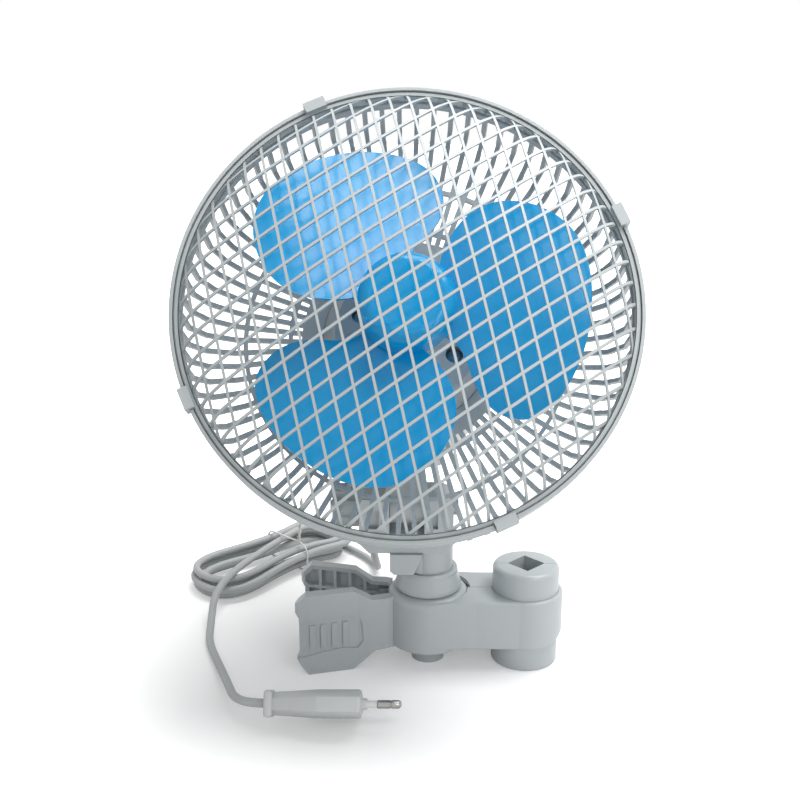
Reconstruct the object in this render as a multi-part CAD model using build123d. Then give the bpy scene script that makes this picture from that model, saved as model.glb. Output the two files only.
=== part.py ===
from build123d import *
import math
import os

# Clip fan standing on its clamp. Millimetres, Z up, origin on the floor under
# the clamp hinge, +X towards the pole grips, -Y towards the front.

# ---------------------------------------------------------------- clamp sizes
WALL = 2.2
BARREL_R = 21.0
JAW_BOTTOM = 10.5
ARM_BOTTOM = 13.0
ARM_TOP = 39.4
BARREL_TOP = 40.0
ARM_DEPTH = 18.8
SPLIT = 0.3
BOSS_R = 8.5
PIN_R = 4.0
PIN_FIT = 0.05
KNUCKLE_R = 7.5
GRIP_X = 50.4
GRIP_R = 17.1
GRIP_TOP = 53.0
GRIP_NOTCH = 9.5
SLEEVE_T = 2.0
HANDLE_TOP = 44.0
SEAT = 0.1
WEB_T = 2.6
RIB_T = 1.6
SPRING_WIRE = 0.8
SPRING_R = KNUCKLE_R + SPRING_WIRE + 0.6
SPRING_PITCH = 2.2
SPRING_TURNS = 5

# ----------------------------------------------------------------- post sizes
POST_R = 12.6
COLLAR_TOP = 52.0
COLLAR_R_TOP = POST_R + 1.9
COLLAR_R_BOTTOM = POST_R + 4.4
YOKE_BOTTOM = 64.0
YOKE_TOP = 92.5
YOKE_LEFT = -35.0
YOKE_RIGHT = 12.3
YOKE_DEPTH = 13.0
HEAD_X = -11.0
SLOT_HALF = 8.8
KNUCKLE_HALF = 8.5
TILT_Z = 85.0
TILT_REST = 30.0
TILT_R = 9.5
BOLT_R = 2.5

# ----------------------------------------------------------------- head sizes
RIM_AHEAD = 98.0
AXIS_ABOVE = 74.0
RIM_R = 105.0
FRONT_RIM_R = RIM_R - 1.9
GUARD_RISE = 30.0
BAR = 1.15
BAR_DEPTH = 1.5
BAR_PITCH = 8.75
GUARD_TURN = -21.0
SPOKES = 78
SPOKE_W = 2.3
BLADE_H = -7.0
HUB_R = 21.5
HUB_FRONT = 18.0
SHAFT_R = 2.5
MOTOR_FRONT = -42.0
MOTOR_FACE_R = 35.5
MOTOR_R = 45.0
MOTOR_SPLIT = -80.0
MOTOR_BACK = -138.0
SHELL_T = 2.2
PLATE_H = -58.0
OSC_H = -RIM_AHEAD
TURRET_R = 13.5
TURRET_TOP = -34.0
EAR_X = 19.0
CRANK_X = 8.45
CRANK_H = -117.0
CRANK_RADIUS = 11.0
CLUSTER_H = -110.0
WHEEL_R = 9.0
WORM_R = SHAFT_R + 1.0
CLUSTER_X = -(WORM_R + WHEEL_R + 0.3)
PINION_R = 5.3
OUTPUT_R = 16.75
SWITCH_X = 4.0
SWITCH_Y = 22.0

# ----------------------------------------------------------------- cord sizes
CORD_R = 2.1
CORD_AIM = (-0.6, 0.8, 0.0)
GLAND_REACH = POST_R + 8.4
GLAND_R = 4.6
GLAND_Z = 58.0
RELIEF = 20.5
HANK_CORNERS = 18
HANK_LAYER = 6
HANK_STEP = 4.8
HANK_FLOOR = 2.3
HANK_LIFT = 1.8
HANK_FAR = (50.0, 26.0)
HANK_NEAR = (54.0, 27.0)
HANK_NEST = (1.18, 1.7)
HANK_CENTRE = (-92.8, 105.2, 0.0)
HANK_YAW = 45.0
TIE_AT = 10.0
TIE_HALF = 14.5
TIE_NEST = 1.36
TIE_BULGE = 2.3
TIE_R = 0.7
PLUG_AT = (-77.0, -72.2, 13.9)
PLUG_ROLL = -31.0
PLUG_LENGTH = 45.4

PARTS = {}


def keep(name, shape):
    """Store one named solid."""
    if isinstance(shape, (list, ShapeList)):
        shape = shape[0] if len(shape) == 1 else Compound(children=list(shape))
    solids = shape.solids()
    shape = solids[0] if len(solids) == 1 else shape
    shape.label = name
    PARTS[name] = shape


def box(x0, x1, y0, y1, z0, z1):
    return Pos((x0 + x1) / 2, (y0 + y1) / 2, (z0 + z1) / 2) * Box(x1 - x0, y1 - y0, z1 - z0)


def rod(r, z0, z1, x=0.0, y=0.0):
    return Pos(x, y, (z0 + z1) / 2) * Cylinder(r, z1 - z0)


def stud(r, length):
    """Rod standing on its end."""
    return Pos(0, 0, length / 2) * Cylinder(r, length)


def prism(points, z0, z1):
    """Upright prism over a plan outline."""
    face = make_face(Polyline(*points, close=True))
    return Pos(0, 0, z0) * extrude(face, z1 - z0)


def side_prism(points, y0, y1):
    """Prism along Y over an outline given as (x, z)."""
    face = make_face(Polyline(*[(x, z) for x, z in points], close=True))
    return Pos(0, y1, 0) * Rot(90, 0, 0) * extrude(face, y1 - y0)


def turned(points):
    """Solid of revolution about Z from an (r, z) outline."""
    face = make_face(Polyline(*[(r, 0, z) for r, z in points], close=True))
    return revolve(face, Axis.Z)


def ring(r_in, r_out, z0, z1):
    return rod(r_out, z0, z1) - rod(r_in, z0 - 1, z1 + 1)


# Head frame: X as in the world, Y up in the head, Z forward along the fan
# axis, origin in the centre of the guard rim.
HEAD = Pos(HEAD_X, 0, TILT_Z) * Rot(-TILT_REST, 0, 0)
FAN = HEAD * Pos(0, -RIM_AHEAD, AXIS_ABOVE) * Rot(90, 0, 0)


def across(r, y0, y1, x, h):
    """Rod in the head frame along its up direction."""
    return Pos(x, (y0 + y1) / 2, h) * Rot(90, 0, 0) * Cylinder(r, y1 - y0)


# ---------------------------------------------------------------------- clamp
HANDLE_OUTER = [(-15, 9.5), (-22, 13), (-36, 15), (-60, 21.5), (-65, 22), (-68, 19)]
HANDLE_INNER = [(-66, 15.5), (-60, 15.5), (-36, 9.8), (-19, 6)]
HANDLE_PANEL = [(-70, 8.6), (-54, 11.8), (-44, 13), (-36, 12), (-33, 16), (-34, 27.5),
                (-42, 30.6), (-53, 31.6), (-61, 30), (-70, 28.6)]
PANEL_DEPTH = 0.8
HANDLE_SIDE = [(-14, JAW_BOTTOM), (-14, 39), (-29, 38.5), (-38, HANDLE_TOP), (-62, HANDLE_TOP),
               (-67.4, 38.8), (-67.4, 34), (-65.4, 31.7), (-65.4, 12), (-67, 8.5),
               (-61, 0), (-38.4, 0), (-33.5, 4), (-27, 9.7), (-22, JAW_BOTTOM)]


def handle_block(points, off):
    """Front handle as a full block over a plan, sunk by off on every side."""
    plan = make_face(Polyline(*[(x, -y) for x, y in points], close=True))
    side = make_face(Polyline(*HANDLE_SIDE, close=True))
    if off:
        plan = offset(plan, -off, kind=Kind.INTERSECTION)
        side = offset(side, -off, kind=Kind.INTERSECTION)
    slab = Pos(0, 12, 0) * Rot(90, 0, 0) * extrude(side, 50)
    return Pos(0, 0, -1) * extrude(plan, 50) & slab


def handle():
    """Hollow squeeze handle, open towards the other jaw, with grip ribs."""
    outer = handle_block(HANDLE_OUTER + HANDLE_INNER, 0)
    core = handle_block(HANDLE_OUTER + [(-68, -10), (-15, -10)], WALL)
    body = outer - core
    for z in (9.0, 20.0, 31.0):
        body = body + (box(-64, -24, -24, -5.0, z, z + RIB_T) & outer)
    for x in (-58, -50, -42, -34):
        body = body + (box(x, x + RIB_T, -24, -5.0, 1, 43) & outer)
    # sunk panel on the outer face with upright finger bars left in it
    panel = (outer - Pos(0, PANEL_DEPTH, 0) * outer) & side_prism(HANDLE_PANEL, -30, 0)
    for x in (-60.0, -54.5, -49.0, -43.5):
        panel = panel - box(x, x + 2.6, -30, 0, 14.5, 27.5)
    return body - panel


def half_sleeve():
    """Front half of the sleeve round the grips, chamfered at its lower far edge."""
    r = GRIP_R + SEAT + SLEEVE_T
    tube = rod(r, ARM_BOTTOM, ARM_TOP, GRIP_X)
    tube = fillet(tube.edges().filter_by(GeomType.CIRCLE), 1.3) - rod(GRIP_R + SEAT, 10, 50, GRIP_X)
    half = tube & box(GRIP_X - 30, GRIP_X + 30, -30, -SPLIT / 2, 0, 60)
    cut = side_prism([(GRIP_X + 8, 10), (GRIP_X + 30, 10), (GRIP_X + 30, 26)], -40, 10)
    return half - cut


def arm():
    """Front arm channel between barrel and sleeve, open towards the other jaw."""
    x1 = GRIP_X - 4
    # a slight taper fills the crease beside the barrel
    outer = prism([(0, -BARREL_R + 0.1), (3, -BARREL_R + 0.15), (24, -ARM_DEPTH), (x1, -ARM_DEPTH),
                   (x1, -SPLIT / 2), (0, -SPLIT / 2)], ARM_BOTTOM, ARM_TOP)
    rims = outer.edges().group_by(Axis.Z)[0] + outer.edges().group_by(Axis.Z)[-1]
    outer = fillet([e for e in rims if e.center().Y < -ARM_DEPTH + 0.3], 1.5)
    inner = box(-1, x1 + 5, -ARM_DEPTH + WALL, 1, ARM_BOTTOM + WALL, ARM_TOP - WALL)
    drum = rod(GRIP_R + SEAT, 0, 60, GRIP_X)
    hub = rod(BARREL_R - 0.5, 0, 60)
    ribs = None
    for x in (22.5, 30.0):
        r = box(x, x + 1.8, -ARM_DEPTH + 0.5, -SPLIT / 2, ARM_BOTTOM + 0.5, ARM_TOP - 0.5)
        ribs = r if ribs is None else ribs + r
    return outer - inner + ribs - drum - hub


def barrel():
    """Hinge barrel of the front jaw with top and bottom plates and a foot."""
    shell = rod(BARREL_R, JAW_BOTTOM, BARREL_TOP)
    shell = fillet(shell.edges().filter_by(GeomType.CIRCLE).group_by(Axis.Z)[-1], 4.0)
    shell = fillet(shell.edges().filter_by(GeomType.CIRCLE).group_by(Axis.Z)[0], 2.0)
    shell = shell - rod(BARREL_R - WALL, JAW_BOTTOM + WALL, BARREL_TOP - WALL)
    foot = rod(BOSS_R, 0, JAW_BOTTOM + 1)
    body = shell + foot
    # the rear jaw passes out through the back of the barrel
    body = body - box(-30, 30, -2.0, 30, JAW_BOTTOM + WALL, BARREL_TOP - WALL)
    return body


def front_jaw():
    low, high = JAW_BOTTOM + WALL, BARREL_TOP - WALL
    body = barrel() + arm() + half_sleeve() + handle()
    body = body - rod(BARREL_R - WALL, low, high)
    body = body + rod(PIN_R + 2.4, JAW_BOTTOM, low + 3) + rod(PIN_R + 4.6, high - 3, BARREL_TOP)
    body = body - rod(PIN_R + 0.02, 4, BARREL_TOP + 1) - rod(PIN_R + 2.2, high, BARREL_TOP + 1)
    return body


def rear_jaw():
    low = JAW_BOTTOM + WALL + 3.3
    high = BARREL_TOP - WALL - 3.3
    flip = Plane.XZ
    body = mirror(arm() + half_sleeve() + handle(), about=flip)
    # clear the front jaw's barrel
    body = body - (rod(BARREL_R + 0.8, -1, 60))
    core = rod(KNUCKLE_R, low, high)
    links = None
    for z0, z1 in ((low, low + WEB_T), (high - WEB_T, high)):
        web = box(0, BARREL_R + 3, 2.6, 5.2, z0, z1) + box(-BARREL_R - 3.5, 0, 6.0, 8.6, z0, z1) \
            + box(-3, 3, 2.6, 8.6, z0, z1)
        links = web if links is None else links + web
    peg = box(SPRING_R + SPRING_WIRE + 0.3, SPRING_R + SPRING_WIRE + 2.3, 2.6, 5.2, high - WEB_T - 4, high)
    wall = box(BARREL_R - 1, BARREL_R + 3, 1.5, 17, low, high)
    wall2 = box(-BARREL_R - 4.5, -BARREL_R + 0.6, 6.0, 19, low, high)
    body = body + core + links + peg + wall + wall2
    body = body - rod(PIN_R + PIN_FIT, 0, 60)
    return body


def clamp_parts():
    keep("front_jaw", front_jaw())
    keep("rear_jaw", rear_jaw())
    pin = rod(PIN_R, 4.2, BARREL_TOP - 0.3) + rod(PIN_R + 2.0, BARREL_TOP - WALL + 0.1, BARREL_TOP - 0.1)
    keep("hinge_pin", pin)
    drum = rod(GRIP_R, 0, GRIP_TOP, GRIP_X)
    drum = fillet(drum.edges().group_by(Axis.Z)[-1], 2.5)
    drum = fillet(drum.edges().group_by(Axis.Z)[0], 1.0)
    d = GRIP_NOTCH
    notch = prism([(GRIP_X - d, 0), (GRIP_X, -d), (GRIP_X + d, 0), (GRIP_X, d)], -1, GRIP_TOP + 1)
    drum = drum - notch
    keep("front_grip", drum & box(20, 80, -30, -SPLIT / 2, -1, 60))
    keep("rear_grip", drum & box(20, 80, SPLIT / 2, 30, -1, 60))
    # torsion spring round the knuckle, its ends against the two jaws
    tall = SPRING_PITCH * SPRING_TURNS
    middle = (JAW_BOTTOM + BARREL_TOP) / 2
    path = Pos(0, 0, middle - tall / 2) * Helix(pitch=SPRING_PITCH, height=tall, radius=SPRING_R)
    start, end = path @ 0, path @ 1
    d0, d1 = path % 0, path % 1
    body = sweep(Plane(origin=start, z_dir=d0) * Circle(SPRING_WIRE), path=path)
    inner = math.sqrt((BARREL_R - WALL) ** 2 - (SPRING_R + SPRING_WIRE) ** 2)
    leg0 = Solid.make_cylinder(SPRING_WIRE, inner - 0.6, Plane(origin=start, z_dir=d0 * -1))
    leg1 = Solid.make_cylinder(SPRING_WIRE, 8.0, Plane(origin=end, z_dir=d1))
    keep("torsion_spring", body + leg0 + leg1)


# ------------------------------------------------------------------------ post
def post_parts():
    bore = rod(POST_R + SEAT, 30, 60)
    collar = turned([(0, BARREL_TOP + SEAT), (COLLAR_R_BOTTOM - 1, BARREL_TOP + SEAT),
                     (COLLAR_R_BOTTOM, BARREL_TOP + 1.4), (COLLAR_R_BOTTOM, BARREL_TOP + 3),
                     (COLLAR_R_TOP + 0.6, COLLAR_TOP - 2.6), (COLLAR_R_TOP + 0.6, COLLAR_TOP - 1),
                     (COLLAR_R_TOP, COLLAR_TOP), (0, COLLAR_TOP)]) - bore
    keep("neck_collar", collar)

    post = rod(POST_R, BARREL_TOP + SEAT, YOKE_BOTTOM + 2)
    mid = (YOKE_LEFT + YOKE_RIGHT) / 2
    block = box(YOKE_LEFT, YOKE_RIGHT, -YOKE_DEPTH, YOKE_DEPTH, YOKE_BOTTOM, YOKE_TOP)
    block = fillet(block.edges().filter_by(Axis.Y).group_by(Axis.Z)[-1].sort_by(Axis.X)[-1:], 7.0)
    block = fillet(block.edges().filter_by(Axis.Y).group_by(Axis.Z)[-1].sort_by(Axis.X)[:1], 2.5)
    block = chamfer(block.edges().filter_by(Axis.Y).group_by(Axis.Z)[0], 5.0)
    slot = box(HEAD_X - SLOT_HALF, HEAD_X + SLOT_HALF, -20, 20, TILT_Z - TILT_R - 1.2, 100)
    windows = box(-0.5, 4.5, -20, -YOKE_DEPTH + 3, 77, 87) \
        + box(-31, -25, -20, -YOKE_DEPTH + 3, 77, 87) \
        + box(-0.5, 4.5, YOKE_DEPTH - 3, 20, 77, 87) \
        + box(-31, -25, YOKE_DEPTH - 3, 20, 77, 87)
    hole = Pos(mid, 0, TILT_Z) * Rot(0, 90, 0) * Cylinder(BOLT_R + 0.03, 80)
    keep("neck_post", post + block - slot - windows - hole)

    # slanted block on the front left, and the cord's boss on the back left,
    # joined by a band round the post
    aim = math.degrees(math.atan2(CORD_AIM[1], CORD_AIM[0]))
    out = Pos(0, 0, GLAND_Z) * Rot(0, 0, aim) * Rot(0, 90, 0)
    block = side_prism([(-19.5, 55), (-17.5, 53), (-7.5, 53), (-3.0, 63.8), (-19.5, 63.8)], -POST_R - 2.2, -2)
    band = ring(POST_R + SEAT, POST_R + 2.6, GLAND_Z - 4.5, GLAND_Z + 4.5) & box(-20, -3, -20, 20, 50, 70)
    gland = block + band + out * stud(GLAND_R, GLAND_REACH)
    gland = gland - rod(POST_R + SEAT, 40, 80) - out * stud(CORD_R + 0.6, 60)
    keep("cord_gland", gland)
    relief = turned([(CORD_R + SEAT, 0), (CORD_R + 1.5, 0), (CORD_R + 1.2, RELIEF / 2),
                     (CORD_R + 0.7, RELIEF), (CORD_R + SEAT, RELIEF)])
    keep("strain_relief", out * Pos(0, 0, GLAND_REACH + SEAT) * relief)

    bolt = Pos(YOKE_RIGHT - 1.2, 0, TILT_Z) * Rot(0, -90, 0) * stud(BOLT_R, 61)
    cap = Pos(YOKE_RIGHT + 0.1, 0, TILT_Z) * Rot(0, 90, 0) * stud(5.0, 2.6)
    link = Pos(YOKE_RIGHT - 2, 0, TILT_Z) * Rot(0, 90, 0) * stud(BOLT_R, 3)
    keep("tilt_bolt", bolt + link + cap)
    knob = stud(11.0, 13)
    for a in range(0, 360, 45):
        knob = knob - Rot(0, 0, a) * Pos(13.2, 0, 5) * Cylinder(3.6, 30)
    knob = knob - Cylinder(BOLT_R + 0.05, 40)
    knob = Pos(YOKE_LEFT - 0.4, 0, TILT_Z) * Rot(0, -90, 0) * knob
    keep("tilt_knob", knob)


def neck_parts():
    """Tilt knuckle with the turret that carries the swinging motor."""
    low = -AXIS_ABOVE
    knuckle = Pos(0, low, OSC_H) * Rot(0, 90, 0) * Cylinder(TILT_R, 2 * KNUCKLE_HALF)
    stem = box(-KNUCKLE_HALF, KNUCKLE_HALF, low, -51, OSC_H - 9, OSC_H + 9)
    flange = across(18.0, -52.5, -48.6, 0, OSC_H)
    turret = across(TURRET_R, -49, -36.4, 0, OSC_H)
    arm_out = box(0, EAR_X, TURRET_TOP - 1.6, TURRET_TOP, OSC_H - 3.6, OSC_H + 3.6)
    end = across(3.6, TURRET_TOP - 1.6, TURRET_TOP, EAR_X, OSC_H)
    ear = across(2.5, TURRET_TOP - 1, TURRET_TOP + 3.0, EAR_X, OSC_H)
    top = across(7.0, -37, TURRET_TOP, 0, OSC_H)
    block = knuckle + stem + flange + turret + arm_out + end + ear + top
    block = block - across(4.02, -50, -20, 0, OSC_H)
    block = block - Pos(0, low, OSC_H) * Rot(0, 90, 0) * Cylinder(BOLT_R + 0.06, 60)
    keep("neck_block", FAN * block)
    keep("pivot_pin", FAN * across(4.0, -49.8, -23.2, 0, OSC_H))


# ---------------------------------------------------------------------- guards
def clip(poly, edge):
    """Part of a convex polygon that lies inside a convex outline."""
    out = poly
    for i in range(len(edge)):
        ax, ay = edge[i]
        bx, by = edge[(i + 1) % len(edge)]
        src, out = out, []
        for j in range(len(src)):
            px, py = src[j]
            qx, qy = src[(j + 1) % len(src)]
            sp = (bx - ax) * (py - ay) - (by - ay) * (px - ax)
            sq = (bx - ax) * (qy - ay) - (by - ay) * (qx - ax)
            if sp >= 0:
                out.append((px, py))
            if sp * sq < 0:
                t = sp / (sp - sq)
                out.append((px + t * (qx - px), py + t * (qy - py)))
        if len(out) < 3:
            return []
    return out


def area(poly):
    total = 0
    for i in range(len(poly)):
        x0, y0 = poly[i]
        x1, y1 = poly[(i + 1) % len(poly)]
        total += x0 * y1 - x1 * y0
    return total / 2


def tidy(poly, least):
    """Drop points nearer to the last one than least."""
    out = []
    for p in poly:
        if not out or math.dist(p, out[-1]) > least:
            out.append(p)
    while len(out) > 2 and math.dist(out[0], out[-1]) <= least:
        out.pop()
    return out


def plate_with_holes(radius, holes, z0, z1):
    outer = Wire.make_circle(radius)
    inner = [Wire.make_polygon([Vector(x, y, 0) for x, y in h], close=True) for h in holes]
    face = Face(outer, inner)
    return Pos(0, 0, z0) * extrude(face, z1 - z0, dir=(0, 0, 1))


def lattice_holes(reach):
    lean = math.radians(34.0)
    n1 = (math.cos(lean), -math.sin(lean))
    n2 = (math.cos(lean), math.sin(lean))
    det = n1[0] * n2[1] - n1[1] * n2[0]
    half = (BAR_PITCH - BAR) / 2
    edge = [(reach * math.cos(math.tau * k / 96), reach * math.sin(math.tau * k / 96)) for k in range(96)]
    count = int(reach / BAR_PITCH) + 8
    holes = []
    for i in range(-count, count + 1):
        for j in range(-count, count + 1):
            quad = []
            for s, t in ((-1, -1), (1, -1), (1, 1), (-1, 1)):
                a = i * BAR_PITCH + s * half
                b = j * BAR_PITCH + t * half
                quad.append(((a * n2[1] - b * n1[1]) / det, (n1[0] * b - n2[0] * a) / det))
            if area(quad) < 0:
                quad.reverse()
            if min(math.hypot(x, y) for x, y in quad) > reach:
                continue
            cut = tidy(clip(quad, edge), 0.5)
            if len(cut) >= 3 and area(cut) > 6:
                holes.append(cut)
    return holes


DOME_EDGE = RIM_R - 19.0
SPHERE_R = 0.0376 * DOME_EDGE ** 2
CORNER_R = 23.0


def dome_profile(inset):
    """Half outline of the front guard's shape, shrunk by inset."""
    cz = GUARD_RISE - SPHERE_R
    run = math.sqrt(SPHERE_R ** 2 - DOME_EDGE ** 2)
    ux, uz = DOME_EDGE / SPHERE_R, run / SPHERE_R
    kx, kz = DOME_EDGE - CORNER_R * ux, cz + run - CORNER_R * uz
    r1 = SPHERE_R - inset
    r2 = CORNER_R - inset
    join = (kx + r2 * ux, kz + r2 * uz)
    mid_a = math.asin(ux) / 2
    mid1 = (r1 * math.sin(mid_a), cz + r1 * math.cos(mid_a))
    low = -1.0
    end_x = kx + math.sqrt(r2 ** 2 - (low - kz) ** 2)
    a0 = math.atan2(uz, ux)
    a1 = math.atan2(low - kz, end_x - kx)
    am = (a0 + a1) / 2
    mid2 = (kx + r2 * math.cos(am), kz + r2 * math.sin(am))
    top = (0, cz + r1)
    arc1 = ThreePointArc((top[0], 0, top[1]), (mid1[0], 0, mid1[1]), (join[0], 0, join[1]))
    arc2 = ThreePointArc((join[0], 0, join[1]), (mid2[0], 0, mid2[1]), (end_x, 0, low))
    return [arc1, arc2, Line((end_x, 0, low), (0, 0, low)), Line((0, 0, low), (0, 0, top[1]))]


def tab_at(angle, shape):
    return Rot(0, 0, angle) * shape


TABS = [45 + GUARD_TURN, 135 + GUARD_TURN, 225 + GUARD_TURN, 315 + GUARD_TURN]


def front_guard():
    outer = revolve(make_face(dome_profile(0)), Axis.Z)
    inner = revolve(make_face(dome_profile(BAR_DEPTH)), Axis.Z)
    shell = outer - inner
    plate = plate_with_holes(RIM_R + 5, lattice_holes(RIM_R - 4.3), -5, 40)
    net = shell & plate
    rim = turned([(FRONT_RIM_R - 2.0, -4), (FRONT_RIM_R, -4), (FRONT_RIM_R, 1.6),
                  (FRONT_RIM_R - 0.6, 2.2), (FRONT_RIM_R - 2.0, 2.2)])
    body = net + rim
    for a in TABS:
        tab = box(FRONT_RIM_R - 1.2, RIM_R + 1.6, -5, 5, -3.4, 5.2)
        body = body + tab_at(a - GUARD_TURN, tab)
    return Rot(0, 0, GUARD_TURN) * body


def guard_windows():
    rings = [(51.5, 56.0), (58.0, 77.5), (79.5, RIM_R - 5.2)]
    holes = []
    for k in range(SPOKES):
        mid = math.tau * (k + 0.5) / SPOKES
        for r0, r1 in rings:
            pts = []
            for r, s in ((r0, -1), (r1, -1), (r1, 1), (r0, 1)):
                half = math.pi / SPOKES - SPOKE_W / 2 / r
                pts.append((r * math.cos(mid + s * half), r * math.sin(mid + s * half)))
            holes.append(pts)
    return holes


def rear_guard():
    r = RIM_R
    shell = turned([(41.3, PLATE_H), (52, PLATE_H), (r - 21, -54.5), (r - 8, -46), (r - 1.8, -33),
                    (r - 1.4, -10.5), (r, -9.5), (r, 2.7), (r - 0.3, 3), (r - 1.6, 3), (r - 1.6, -4.3), (r - 4.8, -4.3),
                    (r - 4.8, -6), (r - 3.6, -9), (r - 3.8, -32.4), (r - 9.3, -44.4), (r - 21.6, -52.4),
                    (52, -55.8), (41.3, -55.8)])
    plate = plate_with_holes(RIM_R + 15, guard_windows(), -70, 20)
    body = shell & plate
    half = (r - 2) * math.pi / SPOKES - SPOKE_W / 2
    slot = box(r - 6.7, r + 3, -half, half, -42.0, -11.6)
    body = body - [Rot(0, 0, 360 * (k + 0.5) / SPOKES) * slot for k in range(SPOKES)]
    for a in TABS:
        body = body - tab_at(a, box(r - 4.1, r + 5, -5.5, 5.5, -3.9, 10))
    return body


def guard_parts():
    keep("front_guard", FAN * front_guard())
    keep("rear_guard", FAN * rear_guard())


# -------------------------------------------------------------------- impeller
BLADE_EDGE = [(13, 12), (16, 27.5), (31, 45), (54, 47.5), (73, 36), (81.3, 13.5),
              (80.7, -8), (73, -29.5), (59, -43), (43, -41.5), (31, -28), (22, -13), (14, -8)]


def blade():
    sections = []
    for x, deg in ((6, 22), (34, 19), (60, 17), (90, 15)):
        slope = math.tan(math.radians(deg))
        pts = []
        for y in (-62, -31, 0, 31, 62):
            pts.append((x, y, BLADE_H + y * slope + 4.0 * (1 - (y / 50) ** 2)))
        top = Spline([Vector(px, py, pz + 0.9) for px, py, pz in pts])
        low = Spline([Vector(px, py, pz - 0.9) for px, py, pz in pts])
        e0 = Line(top @ 0, low @ 0)
        e1 = Line(top @ 1, low @ 1)
        sections.append(Face(Wire([top, e1, low, e0])))
    sheet = loft(sections)
    edge = make_face(Spline([Vector(x, y, 0) for x, y in BLADE_EDGE], periodic=True))
    return sheet & (Pos(0, 0, -70) * extrude(edge, 140, dir=(0, 0, 1)))


def impeller():
    hub = rod(HUB_R, -1.0, HUB_FRONT)
    hub = fillet(hub.edges().group_by(Axis.Z)[-1], 6.5)
    hub = hub - rod(HUB_R - 1.9, -5, HUB_FRONT - 2.4)
    boss = rod(6.5, -24, HUB_FRONT - 1.5)
    body = hub + boss
    for a in (30, 90, 150, 210, 270, 330):
        body = body + Rot(0, 0, a) * box(5.5, HUB_R - 1.2, -0.8, 0.8, 2, HUB_FRONT - 1.5)
    one = blade()
    for a in (-2.5, 117.5, 237.5):
        body = body + Rot(0, 0, a) * one
    body = body - rod(SHAFT_R + 0.02, -40, 12.2)
    return body


# ----------------------------------------------------------------------- motor
SCREWS = [(24.5 * math.cos(math.radians(a)), 24.5 * math.sin(math.radians(a))) for a in (156.7, -23.8)]


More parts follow.
